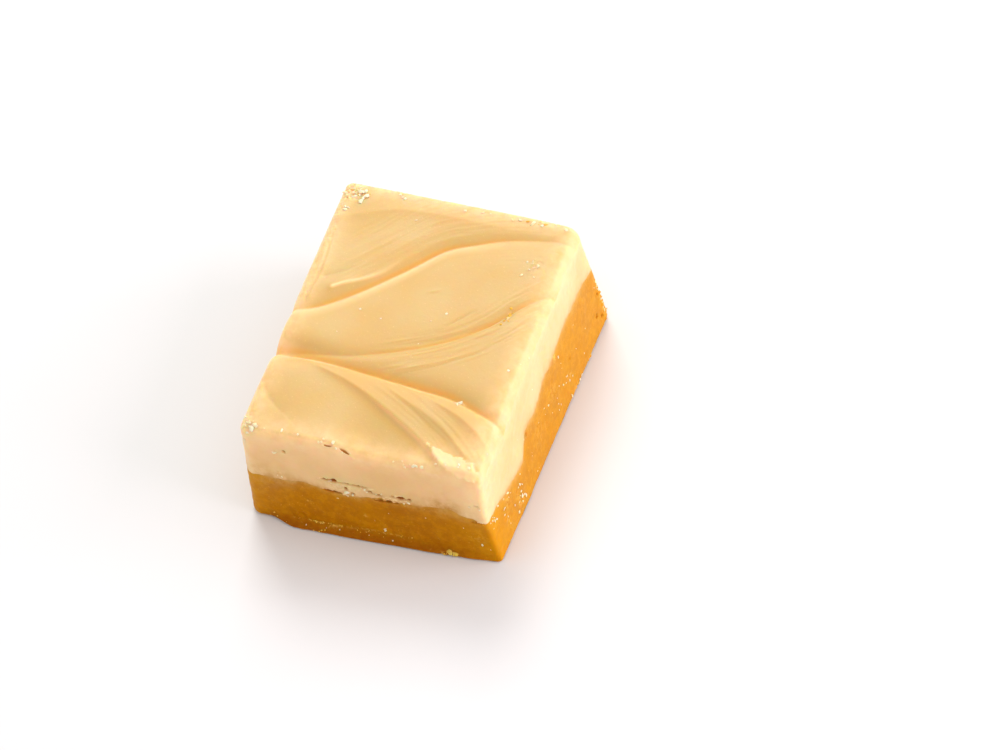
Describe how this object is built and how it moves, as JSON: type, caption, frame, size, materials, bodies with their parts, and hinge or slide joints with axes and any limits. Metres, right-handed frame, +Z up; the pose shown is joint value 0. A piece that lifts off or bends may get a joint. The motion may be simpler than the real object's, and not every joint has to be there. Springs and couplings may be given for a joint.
{
  "type": "two-layer fudge piece",
  "caption": "Cut block of soft fudge with a butterscotch base under a cream layer, its top swirled with a knife.",
  "frame": {"origin": "centre of the block's box in plan, on its flat base", "axes": "+X along the near cut face, +Y away from it along the longer side, +Z up through the layers"},
  "size_m": [0.0424, 0.0532, 0.0206],
  "materials": {
    "butterscotch_fudge": "soft satin, finely grainy cut faces in a warm butterscotch brown",
    "cream_fudge": "soft satin cream, smooth swirled top and finely grainy cut faces"
  },
  "bodies": {
    "root": {"butterscotch_layer": "butterscotch_fudge", "cream_layer": "cream_fudge"}
  },
  "joints": []
}
